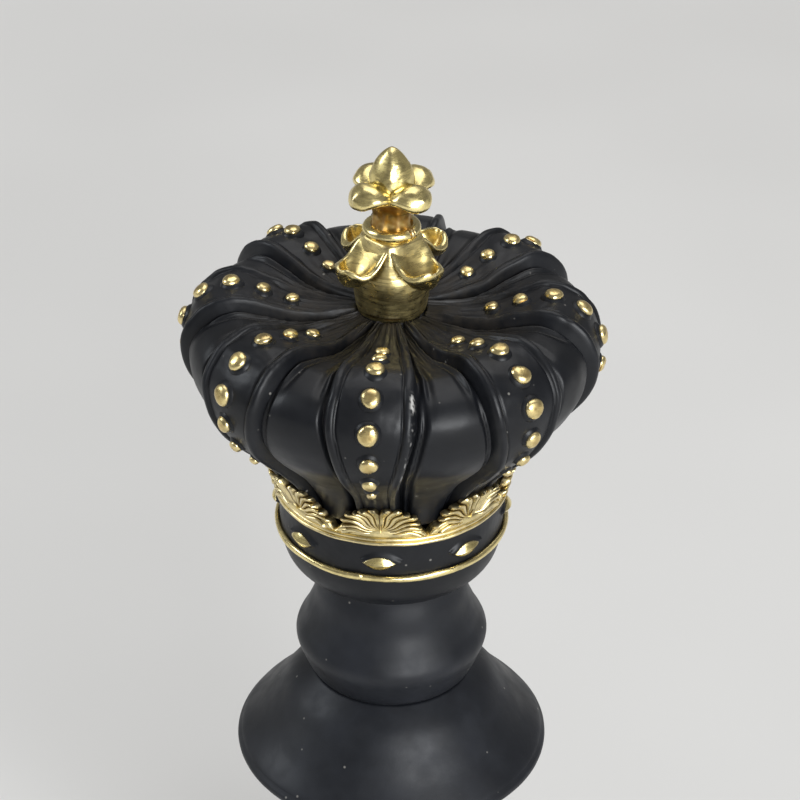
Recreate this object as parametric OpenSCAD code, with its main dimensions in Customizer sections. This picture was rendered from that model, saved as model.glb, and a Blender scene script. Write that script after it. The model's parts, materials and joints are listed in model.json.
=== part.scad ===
// Ornamental chess king: stacked castings on a central tie rod, crowned with eight studded arches.
// Z = 0 is the underside of the felt, the tip of the finial is at Z = piece_h, arch_1 faces -Y.

/* [Overall] */
// Height from the felt to the tip of the finial
piece_h = 300; // [285:1:330]
// Radius of the arches' outer face at the crown's waist
crown_r = 50.3; // [49:0.1:52]
// Radius of the plinth
base_r = 53; // [50:0.5:56]

/* [Crown] */
// Radius of the band between the two gold rims
band_r = 28.6; // [28:0.1:29]
// Height of the band with both rims
band_h = 13.6; // [12:0.1:15]
// Height that an arch stands above the puffed lobes beside it
arch_t = 3.6; // [3:0.1:4]
// Height of the piping along an arch's edges
piping_h = 0.8; // [0.4:0.1:1.2]
// Width of that piping
piping_w = 2; // [1.5:0.1:2.5]
// Wall of the crown's hollow castings
wall = 4; // [3:0.5:5]
// Height of the seat that each stud stands on
stud_seat_h = 1; // [0.6:0.1:1.2]
// Height of a stud's dome
stud_h = 1.5; // [1:0.1:1.6]
// Length of a gem on the band
gem_l = 7.2; // [6:0.1:8]
// Height of a gem on the band
gem_w = 3.1; // [2.6:0.1:3.6]

/* [Stem] */
// Radius of the round knob under the crown
knob_r = 25; // [23:0.1:26]
// Radius of the flared skirt's rim
skirt_r = 41.4; // [38:0.1:43]
// Smallest radius of the stem
stem_r = 14.5; // [13:0.5:16]
// Thickness of the skirt's rim
skirt_rim_t = 3; // [2:0.5:4]

/* [Base] */
// Thickness of the felt pad
felt_t = 1.5; // [1:0.1:2]
// Thickness of the base plate
plate_t = 4; // [4:0.5:5]
// Radius of the threaded access plug
plug_r = 11; // [10:0.5:12]
// Thread pitch of the access plug
plug_pitch = 3.5; // [3:0.5:4]

/* [Rod] */
// Radius of the tie rod
rod_r = 3; // [2.5:0.5:3.5]
// Radial clearance of everything that turns on a thread
run_gap = 0.05; // [0.02:0.01:0.1]

/* [Hidden] */
arch_count = 8;
pitch_deg = 360 / arch_count;

black = "#222327";
gold = "#c8a75c";
steel = "#9a9ca0";
brass = "#b5913f";
felt = "#2f4a38";
rubber = "#3a3a3c";

$fn = 96;
eps = 0.01;
fit_gap = 0.1;              // glue gap between a spigot and its socket
skin_gap = 0.03;            // glue gap under an arch
rod_hole_r = rod_r + 0.3;

// Heights, from the tip down
upper_leaf_z = piece_h - 19;
ring_z = piece_h - 20.6;
seat_z = piece_h - 43;      // underside of the finial
waist_z = piece_h - 51.7;   // middle of the crown's widest part
band_top_z = piece_h - 90.4;
band_low_z = band_top_z - band_h;
cup_low_z = piece_h - 116.8;
knob_low_z = piece_h - 150;
rim_z = piece_h - 171.6;    // widest edge of the skirt
skirt_low_z = rim_z - 9;
collar_low_z = skirt_low_z - 9;

// Heights, from the felt up
plate_z = felt_t;
plate_top_z = plate_z + plate_t;
plinth_h = 27;
moulding_h = 19;
plinth_top_z = plate_z + plinth_h;
moulding_top_z = plinth_top_z + moulding_h;

rim_r = band_r + 1.3;
rim_ring_r = 0.75;
spigot_r = 12;
spigot_h = 4;
ballast_r = 34;
ballast_bore_r = 15;
web_z = plate_top_z + 19;   // underside of the plinth's web, which the nut pulls on
nut_af = 10;
nut_h = 6;
washer_t = 1.6;
lock_washer_t = 1.5;
screw_circle_r = 41;
screw_r = 2;
flange_r = plug_r + 1.5;
flange_t = 1.4;
seal_t = 0.6;
plug_thread_l = 2 * plug_pitch; // two turns hold the plug
gasket_t = 0.7;
boss_r = 8.2;               // seat of the finial on top of the crown
insert_r = 4.6;
insert_l = 12;
rod_top_z = seat_z + 9;

// Points of a smooth curve through p, with n steps between one point and the next
function bend(a, b, c, d, t) =
    0.5 * (2 * b + (c - a) * t + (2 * a - 5 * b + 4 * c - d) * t * t
           + (3 * b - a - 3 * c + d) * t * t * t);
function smooth(p, n) = concat(
    [for (i = [0 : len(p) - 2], k = [0 : n - 1])
        bend(p[max(i - 1, 0)], p[i], p[i + 1], p[min(i + 2, len(p) - 1)], k / n)],
    [p[len(p) - 1]]);
function unit(v) = v / norm(v);
function across(v) = [-v[1], v[0]];
function normal_at(p, i) = across(unit(p[min(i + 1, len(p) - 1)] - p[max(i - 1, 0)]));
function shifted(p, d) = [for (i = [0 : len(p) - 1]) p[i] + d * normal_at(p, i)];
function reversed(p) = [for (i = [len(p) - 1 : -1 : 0]) p[i]];
function mirrored_x(p) = [for (q = p) [-q[0], q[1]]];

// Outer face of an arch, from the finial over the waist down to the band: [radius, height]
arch_steps = 2;
arch_points = [
    [8.8, seat_z + 0.2],
    [17, seat_z - 0.3],
    [24.5, seat_z + 0.6],
    [31.5, seat_z + 3],
    [39, seat_z + 4.6],
    [crown_r - 4.3, waist_z + 10.3],
    [crown_r, waist_z + 3.7],
    [crown_r - 0.1, waist_z - 4.1],
    [crown_r - 3.1, waist_z - 11.1],
    [crown_r - 8.3, waist_z - 17.1],
    [crown_r - 14.8, waist_z - 23.8],
    [band_r + 1.9, band_top_z + 7.4],
    [band_r, band_top_z + 1.9]
];
arch_curve = smooth(arch_points, arch_steps);
// Half-width of an arch seen from above, by radius, and seen from the front, by height
arch_plan = [[8, 2.8], [17, 5], [24.5, 6.6], [31.5, 7.4], [39, 8.8], [46, 9.6], [crown_r + 6, 9.9]];
arch_front = [[9.9, waist_z + 3.7], [8.6, waist_z - 4.1], [7.2, waist_z - 11.1], [6, waist_z - 17.1],
              [5.2, waist_z - 23.8], [4.8, band_top_z + 7.4], [4.6, band_top_z - 2]];
stud_first = 2;             // the studs stand on the arch points from this one on
stud_radii = [1.6, 1.7, 2.05, 2.2, 2.35, 2, 1.6, 1.1];

// Solid between two offsets of the arch curve, all round the axis
module arch_shell(low, high) {
    rotate_extrude()
        polygon(concat(shifted(arch_curve, high), reversed(shifted(arch_curve, low))));
}

// Column that holds one arch, narrower by inset on each side
module arch_column(inset) {
    plan = [for (q = arch_plan) [q[1] - inset, -q[0]]];
    front = [for (q = arch_front) [q[0] - inset, q[1]]];
    translate([0, 0, waist_z])
        linear_extrude(40)
            polygon(concat(plan, reversed(mirrored_x(plan))));
    rotate([90, 0, 0])
        linear_extrude(crown_r + 6)
            polygon(concat([[9.9 - inset, waist_z + eps]], [for (i = [1 : 6]) front[i]],
                           reversed([for (i = [1 : 6]) mirrored_x(front)[i]]),
                           [[inset - 9.9, waist_z + eps]]));
}

// Places its children on the arch that faces -Y, at one of its points and square to its face
module on_arch(i) {
    n = normal_at(arch_curve, i * arch_steps);
    translate([0, -arch_points[i][0], arch_points[i][1]])
        rotate([atan2(n[0], n[1]), 0, 0])
            children();
}

module dome(r, h) {
    ball_r = (r * r + h * h) / (2 * h);
    intersection() {
        translate([0, 0, h - ball_r])
            sphere(ball_r);
        cylinder(r = r, h = h);
    }
}

module each_arch() {
    for (k = [0 : arch_count - 1])
        rotate([0, 0, k * pitch_deg])
            children();
}

module ring(outer, inner, low, high) {
    translate([0, 0, low])
        difference() {
            cylinder(r = outer, h = high - low);
            translate([0, 0, -eps])
                cylinder(r = inner, h = high - low + 2 * eps);
        }
}

module bore(r, low, high) {
    translate([0, 0, low])
        cylinder(r = r, h = high - low);
}

// Solid of revolution from the axis out to a profile of [radius, height] points, lowest first
module turned(profile) {
    rotate_extrude()
        polygon(concat([[0, profile[0][1]]], profile, [[0, profile[len(profile) - 1][1]]]));
}

module felt_pad() {
    color(felt)
        ring(base_r - 1.5, flange_r + 1, 0, felt_t);
}

module screw_places() {
    for (a = [45 : 90 : 315])
        rotate([0, 0, a])
            translate([screw_circle_r, 0, 0])
                children();
}

module base_plate() {
    color(black)
        difference() {
            union() {
                bore(base_r - 4, plate_z, plate_top_z);
                bore(plug_r + 3, plate_z, plate_top_z + 5);
            }
            bore(plug_r, plate_z - eps, plate_top_z + 6);
            bore(flange_r + 0.3, plate_z - eps, plate_z + flange_t + seal_t);
            screw_places() {
                bore(screw_r + 0.2, plate_z - 1, plate_top_z + 1);
                translate([0, 0, plate_z - eps])
                    cylinder(r1 = 2 * screw_r + 0.2, r2 = screw_r + 0.2, h = screw_r);
            }
        }
}

module base_screws() {
    color(steel)
        screw_places()
            difference() {
                union() {
                    translate([0, 0, plate_z])
                        cylinder(r1 = 2 * screw_r, r2 = screw_r, h = screw_r);
                    bore(screw_r, plate_z, plate_z + 14);
                }
                translate([0, 0, plate_z - eps])
                    cylinder(r = 1.2, h = 1.2, $fn = 6);
            }
}

module access_plug() {
    color(black)
        difference() {
            union() {
                bore(flange_r, plate_z, plate_z + flange_t);
                bore(plug_r - run_gap, plate_z, plate_z + flange_t + seal_t + plug_thread_l);
            }
            bore(plug_r - 3, plate_z + 4, plate_z + 20);
            translate([-8, -1, plate_z - 1])
                cube([16, 2, 2.2]);
        }
}

module plug_seal() {
    color(rubber)
        ring(flange_r - 0.1, plug_r + 0.1, plate_z + flange_t, plate_z + flange_t + seal_t);
}

module ballast_weight() {
    color(steel)
        ring(ballast_r, ballast_bore_r, plate_top_z, web_z - 1);
}

module base_plinth() {
    top_r = base_r - 9;
    profile = concat(
        [[base_r - 1, plate_z], [base_r, plate_z + 1], [base_r, plate_z + 8]],
        [for (a = [0 : 15 : 90]) [base_r - 3 + 3 * cos(a), plate_z + 8 + 3 * sin(a)]],
        [[base_r - 5, plate_z + 11], [base_r - 5, plate_z + 13]],
        [for (a = [-75 : 25 : 75]) [base_r - 5.5 + 3.4 * cos(a), plate_z + 16.5 + 3.4 * sin(a)]],
        [[base_r - 6.5, plate_z + 20], [base_r - 6.8, plate_z + 21.5], [base_r - 7.8, plate_z + 24],
         [top_r, plinth_top_z]]);
    color(black)
        difference() {
            turned(profile);
            bore(base_r - 4 + fit_gap, plate_z - eps, plate_top_z);
            bore(ballast_r + fit_gap, plate_z, web_z);
            bore(rod_hole_r, web_z - eps, plinth_top_z + 1);
            bore(spigot_r + 8, plinth_top_z - 2, plinth_top_z + 1);
            screw_places()
                bore(screw_r, plate_top_z - eps, plate_z + 15);
        }
}

module base_moulding() {
    foot_r = base_r - 9;
    low = plinth_top_z;
    profile = concat(
        [[foot_r - 1.2, low], [foot_r - 1.2, low + 1]],
        [for (a = [-70 : 20 : 90]) [foot_r - 4 + 3.2 * cos(a), low + 4 + 3.2 * sin(a)]],
        smooth([[foot_r - 6, low + 7.2], [foot_r - 10, low + 8.2], [foot_r - 14, low + 11.5],
                [foot_r - 16.4, moulding_top_z - 2], [foot_r - 17, moulding_top_z]], 3));
    color(black)
        difference() {
            union() {
                turned(profile);
                bore(spigot_r + 8 - fit_gap, low - 2, low + eps);
            }
            bore(rod_hole_r, low - 3, moulding_top_z + 1);
            bore(spigot_r + fit_gap, moulding_top_z - spigot_h, moulding_top_z + 1);
        }
}

module stem() {
    low = moulding_top_z;
    top = collar_low_z;
    tall = top - low;
    profile = concat(
        [[base_r - 27, low]],
        [for (a = [-80 : 20 : 80]) [base_r - 28.5 + 2.4 * cos(a), low + 2.6 + 2.4 * sin(a)]],
        smooth([[base_r - 30, low + 5.4], [stem_r + 4.6, low + tall * 0.25],
                [stem_r + 1.2, low + tall * 0.5], [stem_r, low + tall * 0.75],
                [stem_r + 1.6, top]], 4));
    color(black)
        difference() {
            union() {
                turned(profile);
                bore(spigot_r, low - spigot_h + fit_gap, low + eps);
                bore(spigot_r - 1, top - eps, top + spigot_h);
            }
            bore(rod_hole_r, low - spigot_h - 1, top + spigot_h + 1);
        }
}

module stem_collar() {
    low = collar_low_z;
    high = skirt_low_z;
    profile = concat(
        [[stem_r + 2, low]],
        [for (a = [-80 : 20 : 80]) [stem_r + 3.4 + 2.2 * cos(a), low + 2.4 + 2.2 * sin(a)]],
        [[stem_r + 2.6, low + 5], [stem_r + 2.6, low + 6]],
        [for (a = [-80 : 20 : 80]) [stem_r + 3 + 1.4 * cos(a), low + 7.4 + 1.4 * sin(a)]],
        [[stem_r + 2, high]]);
    color(black)
        difference() {
            turned(profile);
            bore(spigot_r - 1 + fit_gap, low - eps, high + eps);
        }
}

module skirt() {
    profile = concat(
        [[stem_r + 2.5, skirt_low_z], [skirt_r * 0.62, skirt_low_z + 2.6],
         [skirt_r - 2, rim_z - skirt_rim_t + 0.6]],
        [for (a = [-80 : 20 : 40])
            [skirt_r - skirt_rim_t / 2 + skirt_rim_t / 2 * cos(a),
             rim_z - 0.9 + skirt_rim_t / 2 * sin(a)]],
        smooth([[skirt_r * 0.951, rim_z + 2.2], [skirt_r * 0.843, rim_z + 6.9],
                [skirt_r * 0.742, rim_z + 12.2], [skirt_r * 0.637, rim_z + 17.9],
                [skirt_r * 0.532, knob_low_z + 0.8]], 3));
    color(black)
        difference() {
            union() {
                turned(profile);
                bore(spigot_r, knob_low_z, knob_low_z + 0.8 + spigot_h);
            }
            bore(rod_hole_r, skirt_low_z - 1, knob_low_z + 10);
            bore(spigot_r - 1 + fit_gap, skirt_low_z - eps, skirt_low_z + spigot_h + fit_gap);
        }
}

module knob() {
    low = knob_low_z + 0.8;
    profile = smooth([[knob_r - 5.8, low], [knob_r - 3.1, knob_low_z + 2.6],
                      [knob_r - 1.5, knob_low_z + 6.8], [knob_r, knob_low_z + 12],
                      [knob_r - 2.3, knob_low_z + 17], [knob_r - 4.4, knob_low_z + 22],
                      [knob_r - 5.5, knob_low_z + 26.5], [knob_r - 6.8, knob_low_z + 30.5],
                      [knob_r - 7.1, cup_low_z]], 3);
    color(black)
        difference() {
            union() {
                turned(profile);
                bore(spigot_r, cup_low_z - eps, cup_low_z + spigot_h);
            }
            bore(spigot_r + fit_gap, low - eps, low + spigot_h + fit_gap);
            bore(rod_hole_r, low, cup_low_z + 10);
        }
}

module crown_cup() {
    outside = smooth([[20, cup_low_z], [23.6, cup_low_z + 1.9], [26.6, cup_low_z + 5.2],
                      [28, cup_low_z + 9], [band_r - 0.1, band_low_z]], 3);
    hollow = [[spigot_r + 4, cup_low_z + spigot_h + 3], [band_r - wall, band_low_z],
              [band_r - wall, band_top_z + 1]];
    color(black)
        difference() {
            union() {
                turned(outside);
                bore(band_r - 1.6, band_low_z - eps, band_top_z - 1);
            }
            turned(hollow);
            bore(spigot_r + fit_gap, cup_low_z - eps, cup_low_z + spigot_h + fit_gap);
            bore(rod_hole_r, cup_low_z, cup_low_z + 20);
        }
}

// Lens outline from two arcs, with its length along X
module lens(length, height) {
    arc_r = (length * length / 4 + height * height / 4) / height;
    intersection_for(side = [-1, 1])
        translate([0, side * (arc_r - height / 2)])
            circle(arc_r);
}

// Lens block that sticks out of the band towards -Y
module band_lens(length, height, from_r, to_r) {
    translate([0, -from_r, band_low_z + band_h * 0.41])
        rotate([90, 0, 0])
            linear_extrude(to_r - from_r)
                lens(length, height);
}

module crown_band() {
    low = band_low_z + 1.5;
    high = band_top_z - 2.7;
    color(black)
        difference() {
            union() {
                ring(band_r, band_r - 1.6 + fit_gap, low, high);
                each_arch()
                    intersection() {
                        band_lens(gem_l + 3, gem_w + 1.6, band_r - 1.5, band_r + 2);
                        bore(band_r + 0.7, low, high);
                    }
            }
            bore(band_r - 1.6 + fit_gap, low - eps, high + eps);
        }
}

module band_gems() {
    color(gold)
        each_arch()
            intersection() {
                band_lens(gem_l, gem_w, band_r + 0.2, band_r + 3);
                translate([0, 0, band_low_z + band_h * 0.41])
                    rotate([0, 90, 0])
                        translate([0, 0, -gem_l])
                            cylinder(r = band_r + 1.75, h = 2 * gem_l);
                difference() {
                    bore(band_r + 3, band_low_z, band_top_z);
                    bore(band_r + 0.7, band_low_z - 1, band_top_z + 1);
                }
            }
}

module lower_rim() {
    profile = concat([[band_r - 1.5, band_low_z]],
        [for (a = [-90 : 20 : 90]) [rim_r - rim_ring_r + rim_ring_r * cos(a),
                                    band_low_z + rim_ring_r + rim_ring_r * sin(a)]],
        [[band_r - 1.5, band_low_z + 2 * rim_ring_r]]);
    color(gold)
        rotate_extrude()
            polygon(profile);
}

module upper_rim() {
    low = band_top_z - 2.7;
    profile = concat([[band_r - 1.5, low]],
        [for (a = [-90 : 20 : 70]) [rim_r - 0.6 + 0.6 * cos(a), low + 0.6 + 0.6 * sin(a)]],
        [for (a = [-70 : 20 : 90]) [rim_r - 0.8 + 0.6 * cos(a), low + 1.7 + 0.6 * sin(a)]],
        [[band_r + 0.2, band_top_z], [band_r - 1.5, band_top_z]]);
    color(gold)
        rotate_extrude()
            polygon(profile);
}

module crown_cap() {
    skin = shifted(arch_curve, -arch_t);
    last = skin[len(skin) - 1];
    inside = shifted([for (i = [5 : len(arch_curve) - 1]) arch_curve[i]], -arch_t - wall);
    end = inside[len(inside) - 1];
    color(black)
        difference() {
            union() {
                rotate_extrude()
                    polygon(concat([[0, seat_z - gasket_t - 4], [0, skin[0][1]]], skin,
                                   [[last[0], band_top_z], [0, band_top_z]]));
                bore(boss_r, seat_z - gasket_t - 4, seat_z - gasket_t);
            }
            rotate_extrude()
                polygon(concat([[rod_r + 4, inside[0][1]]], inside,
                               [[end[0], band_top_z - 1], [rod_r + 4, band_top_z - 1]]));
            bore(rod_hole_r, band_top_z - 1, seat_z + 1);
        }
}

module arch(k) {
    color(black)
        rotate([0, 0, (k - 1) * pitch_deg])
            difference() {
                union() {
                    intersection() {
                        arch_shell(-arch_t + skin_gap, 0);
                        arch_column(0);
                    }
                    intersection() {
                        arch_shell(-1, piping_h);
                        difference() {
                            arch_column(0);
                            arch_column(piping_w);
                        }
                    }
                    for (i = [0 : len(stud_radii) - 1])
                        on_arch(stud_first + i)
                            translate([0, 0, -1])
                                cylinder(r = stud_radii[i] + 0.45, h = 1 + stud_seat_h);
                }
                bore(boss_r + 0.6, seat_z - 20, seat_z + 5);
            }
}

module arch_studs(k) {
    color(gold)
        rotate([0, 0, (k - 1) * pitch_deg])
            for (i = [0 : len(stud_radii) - 1])
                on_arch(stud_first + i)
                    translate([0, 0, stud_seat_h])
                        dome(stud_radii[i], stud_h * (0.4 + 0.6 * stud_radii[i] / 2.35));
}

module leaf_crest(k) {
    thick = 1.8;
    low = band_top_z;
    color(gold)
        rotate([0, 0, (k - 1) * pitch_deg])
            intersection() {
                arch_shell(piping_h + 0.05, piping_h + thick);
                rotate([90, 0, 0])
                    linear_extrude(band_r + 12)
                        union() {
                            polygon([[-7.5, low], [7.5, low], [10.4, low + 7], [6, low + 9],
                                     [-6, low + 9], [-10.4, low + 7]]);
                            for (i = [-3 : 3])
                                translate([i * 2.9, low + 9.2 - 0.32 * i * i])
                                    circle(1.9);
                        }
            }
}

module tie_rod() {
    low = web_z - washer_t - lock_washer_t - nut_h - 2;
    color(steel)
        union() {
            bore(rod_r, low, rod_top_z);
            bore(rod_r - 0.5, low - 1, low + eps);
            bore(rod_r - 0.5, rod_top_z - eps, rod_top_z + 1);
        }
}

module rod_nut() {
    top = web_z - washer_t - lock_washer_t;
    color(steel)
        difference() {
            translate([0, 0, top - nut_h])
                cylinder(d = nut_af / cos(30), h = nut_h, $fn = 6);
            bore(rod_r + run_gap, top - nut_h - eps, top + eps);
        }
}

module lock_washer() {
    top = web_z - washer_t;
    color(steel)
        difference() {
            ring(rod_r + 2.4, rod_r + 0.1, top - lock_washer_t, top);
            translate([0, -0.5, top - lock_washer_t - 1])
                cube([rod_r + 4, 1, lock_washer_t + 2]);
        }
}

module rod_washer() {
    color(steel)
        ring(9, rod_r + 0.3, web_z - washer_t, web_z);
}

module finial_gasket() {
    color(rubber)
        ring(boss_r - 0.4, rod_r + 0.4, seat_z - gasket_t, seat_z);
}

module finial_insert() {
    color(brass)
        ring(insert_r, rod_r + run_gap, seat_z, seat_z + insert_l);
}

module cup_shape() {
    turned(smooth([[boss_r, seat_z], [8.4, seat_z + 3], [8.8, seat_z + 6], [9.3, seat_z + 10],
                   [8.6, seat_z + 12.4], [6.6, seat_z + 14.4], [5.6, seat_z + 17.5],
                   [5.2, seat_z + 20.6]], 3));
}

module finial_cup() {
    color(gold)
        difference() {
            cup_shape();
            bore(insert_r, seat_z - eps, seat_z + insert_l);
        }
}

// One curled leaf: a shell that follows a profile of [radius, height], cut to a plan outline
module leaf(curve, plan, thick) {
    intersection() {
        rotate_extrude()
            polygon(concat(shifted(curve, thick / 2), reversed(shifted(curve, -thick / 2))));
        translate([0, 0, curve[0][1] - 15])
            linear_extrude(30)
                polygon(concat([for (q = plan) [q[1], -q[0]]],
                               reversed([for (q = plan) [-q[1], -q[0]]])));
    }
}

module each_leaf() {
    for (a = [45 : 90 : 315])
        rotate([0, 0, a])
            children();
}

module finial_lower_leaves() {
    low = seat_z + 12;
    curve = smooth([[5, low], [8.4, low + 0.6], [12, low + 0.2], [15, low + 1.4],
                    [16.8, low + 4], [16.4, low + 6.6], [14.6, low + 7.4]], 3);
    plan = smooth([[0, 2], [6, 3.4], [10, 5.4], [14, 5.6], [17, 3.2], [18, 0.6]], 3);
    color(gold)
        difference() {
            union() {
                each_leaf()
                    leaf(curve, plan, 1.4);
                bore(9.8, low - 0.4, low + 1.6);
            }
            cup_shape();
        }
}

module finial_ring() {
    color(gold)
        difference() {
            rotate_extrude()
                translate([5.6, ring_z])
                    circle(1.4, $fn = 32);
            bore(5.2, ring_z - 2, ring_z + 2);
        }
}

module finial_upper_leaves() {
    low = upper_leaf_z;
    curve = smooth([[3.6, low + 4], [6.4, low + 6], [9.4, low + 8.6], [12, low + 9.4],
                    [13.2, low + 8], [13, low + 6.2]], 3);
    plan = smooth([[0, 2], [5, 3.2], [9, 4.8], [12, 4.4], [14, 1.4], [14.4, 0.4]], 3);
    column = smooth([[5.1, seat_z + 20.7], [4.9, low + 1.6], [4.9, low + 4], [5.8, low + 6],
                     [5, low + 7.9]], 3);
    color(gold)
        union() {
            each_leaf()
                leaf(curve, plan, 1.4);
            turned(column);
        }
}

module finial_bud() {
    low = upper_leaf_z + 7.9;
    profile = smooth([[3.4, low], [3.9, low + 2], [4.25, piece_h - 6.5], [3.5, piece_h - 3.6],
                      [1.9, piece_h - 1.4], [0.3, piece_h]], 3);
    color(gold)
        turned(profile);
}

felt_pad();
base_plate();
base_screws();
access_plug();
plug_seal();
ballast_weight();
base_plinth();
base_moulding();
stem();
stem_collar();
skirt();
knob();
tie_rod();
rod_nut();
rod_washer();
lock_washer();
crown_cup();
crown_band();
lower_rim();
upper_rim();
band_gems();
crown_cap();
for (k = [1 : arch_count]) arch(k);
for (k = [1 : arch_count]) arch_studs(k);
for (k = [1 : arch_count]) leaf_crest(k);
finial_gasket();
finial_insert();
finial_cup();
finial_lower_leaves();
finial_ring();
finial_upper_leaves();
finial_bud();
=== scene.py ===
"""Looks of the ornamental chess king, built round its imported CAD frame. Shapes are in millimetres."""
import json
import math
import bmesh
import bpy
import numpy as np
from mathutils import Matrix, Vector

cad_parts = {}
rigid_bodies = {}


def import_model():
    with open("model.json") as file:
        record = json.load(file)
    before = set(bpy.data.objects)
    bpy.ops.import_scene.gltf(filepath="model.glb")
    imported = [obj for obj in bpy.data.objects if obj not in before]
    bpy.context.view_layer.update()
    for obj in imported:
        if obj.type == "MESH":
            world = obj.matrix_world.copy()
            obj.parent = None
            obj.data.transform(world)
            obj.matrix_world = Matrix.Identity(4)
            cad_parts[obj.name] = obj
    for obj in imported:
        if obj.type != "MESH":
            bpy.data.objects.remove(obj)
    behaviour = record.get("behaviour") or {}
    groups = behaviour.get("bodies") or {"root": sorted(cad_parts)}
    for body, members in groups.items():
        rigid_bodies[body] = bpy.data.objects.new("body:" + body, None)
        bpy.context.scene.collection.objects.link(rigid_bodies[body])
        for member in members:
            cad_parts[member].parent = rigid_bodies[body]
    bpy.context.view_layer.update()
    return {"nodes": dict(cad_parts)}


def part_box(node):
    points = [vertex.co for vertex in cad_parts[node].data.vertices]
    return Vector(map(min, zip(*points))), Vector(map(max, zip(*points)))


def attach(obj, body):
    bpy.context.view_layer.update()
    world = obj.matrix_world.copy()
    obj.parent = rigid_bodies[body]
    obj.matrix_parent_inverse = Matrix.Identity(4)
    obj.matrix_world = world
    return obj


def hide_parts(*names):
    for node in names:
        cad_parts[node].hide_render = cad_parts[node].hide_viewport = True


for leftover in list(bpy.data.objects):
    bpy.data.objects.remove(leftover)
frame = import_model()
MM = 0.001
ARCHES = 8
STEP = 2 * math.pi / ARCHES


def low(node):
    """Lowest corner of a CAD node, in mm."""
    return np.array(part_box(node)[0]) / MM


def high(node):
    """Highest corner of a CAD node, in mm."""
    return np.array(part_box(node)[1]) / MM


# Heights and radii, worked out from the frame
TIP = high("finial_bud")[2]
SEAT = low("finial_cup")[2]
WAIST = SEAT - 8.7
BAND_TOP = high("upper_rim")[2]
BAND_LOW = low("lower_rim")[2]
CUP_LOW = low("crown_cup")[2]
RIM_R = high("lower_rim")[0]
BAND_R = RIM_R - 1.3
ARCH_T = 3.6
CROWN_R = high("crown_cap")[0] + ARCH_T - 0.35
ROD_R = high("tie_rod")[0]
ROD_HOLE = ROD_R + 0.3


# ---------------------------------------------------------------- shape helpers

def circle(count):
    """Evenly spaced angles all the way round."""
    return np.arange(count) * 2 * math.pi / count


def smooth_curve(points, steps, origin=(0, 0)):
    """Catmull-Rom curve through the points, which are counted from the origin."""
    p = np.array(points, float) + origin
    out = []
    for i in range(len(p) - 1):
        a, b, c, d = p[max(i - 1, 0)], p[i], p[i + 1], p[min(i + 2, len(p) - 1)]
        for t in np.arange(steps) / steps:
            out.append(0.5 * (2 * b + (c - a) * t + (2 * a - 5 * b + 4 * c - d) * t ** 2
                              + (3 * b - a - 3 * c + d) * t ** 3))
    out.append(p[-1])
    return np.array(out)


def arc_points(r, z, size, start, end, count=12):
    """Points on an arc round (r, z), between two angles in degrees."""
    angles = np.radians(np.linspace(start, end, count))
    return [(r + size * math.cos(a), z + size * math.sin(a)) for a in angles]


def smoothstep(a, b, x):
    t = np.clip((x - a) / (b - a), 0, 1)
    return t * t * (3 - 2 * t)


def bell(x, centre, width):
    return np.exp(-((x - centre) / width) ** 2)


def waves(points, size, seed, octaves=3, directions=5):
    """Smooth noise about 0, mostly within -1 to 1, made of plane waves in fixed random directions."""
    rng = np.random.default_rng(seed)
    total = np.zeros(points.shape[:-1])
    weight = 1.0
    for _ in range(octaves):
        for _ in range(directions):
            way = rng.normal(size=3)
            way *= 2 * math.pi / (size * np.linalg.norm(way))
            total += weight / 3 * np.sin(points @ way + rng.uniform(0, 2 * math.pi))
        size *= 0.5
        weight *= 0.5
    return total / 1.75


def grid_faces(rows, columns, wrap_rows=False, wrap_columns=True):
    """Quads of a grid of vertices stored row by row."""
    i = np.arange(rows if wrap_rows else rows - 1)
    j = np.arange(columns if wrap_columns else columns - 1)
    i, j = np.meshgrid(i, j, indexing="ij")
    i2, j2 = (i + 1) % rows, (j + 1) % columns
    quads = np.stack([i * columns + j, i * columns + j2, i2 * columns + j2, i2 * columns + j], -1)
    return quads.reshape(-1, 4).tolist()


def around(r, azimuth, z):
    """Points at a radius and azimuth, where azimuth 0 is -Y and grows towards +X."""
    r, azimuth, z = np.broadcast_arrays(r, azimuth, z)
    return np.stack([r * np.sin(azimuth), -r * np.cos(azimuth), z], -1)


class Shape:
    """Vertices in mm, faces and named marks of the vertices, gathered from several closed parts."""

    def __init__(self):
        self.points = np.zeros((0, 3))
        self.faces = []
        self.marks = {}

    def add(self, points, faces, **marks):
        start = len(self.points)
        points = np.asarray(points, float).reshape(-1, 3)
        self.faces += [[start + k for k in f] for f in faces]
        for name in set(self.marks) | set(marks):
            old = self.marks.get(name, np.zeros(start))
            new = np.broadcast_to(np.ravel(marks.get(name, 0.0)), len(points))
            self.marks[name] = np.concatenate([old, new])
        self.points = np.concatenate([self.points, points])
        return self

    def rings(self, rings, **marks):
        """A tube through closed rings, an array of (ring, point, xyz), with each end closed round a pole."""
        n, m, _ = rings.shape
        points = np.concatenate([rings.reshape(-1, 3), [rings[0].mean(0), rings[-1].mean(0)]])
        last = (n - 1) * m
        faces = grid_faces(n, m)
        faces += [[(j + 1) % m, j, n * m] for j in range(m)]
        faces += [[last + j, last + (j + 1) % m, n * m + 1] for j in range(m)]
        return self.add(points, faces, **{k: np.append(v, (v.flat[0], v.flat[-1])) for k, v in marks.items()})

    def moved(self, matrix):
        m = np.array(matrix)
        self.points = self.points @ m[:3, :3].T + m[:3, 3]
        return self


def turned(outline, segments):
    """Solid of revolution from a closed outline of (radius, height)."""
    outline = np.array(outline, float)
    points = around(outline[:, :1], circle(segments), outline[:, 1:])
    return Shape().add(points, grid_faces(len(outline), segments, wrap_rows=True))


def turned_solid(outline, segments):
    """A small solid of revolution that reaches the axis: rings with a pole at each end."""
    outline = np.array(outline, float)
    keep = outline[outline[:, 0] > 0]
    return Shape().rings(around(keep[:, :1], circle(segments), keep[:, 1:]))


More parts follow.
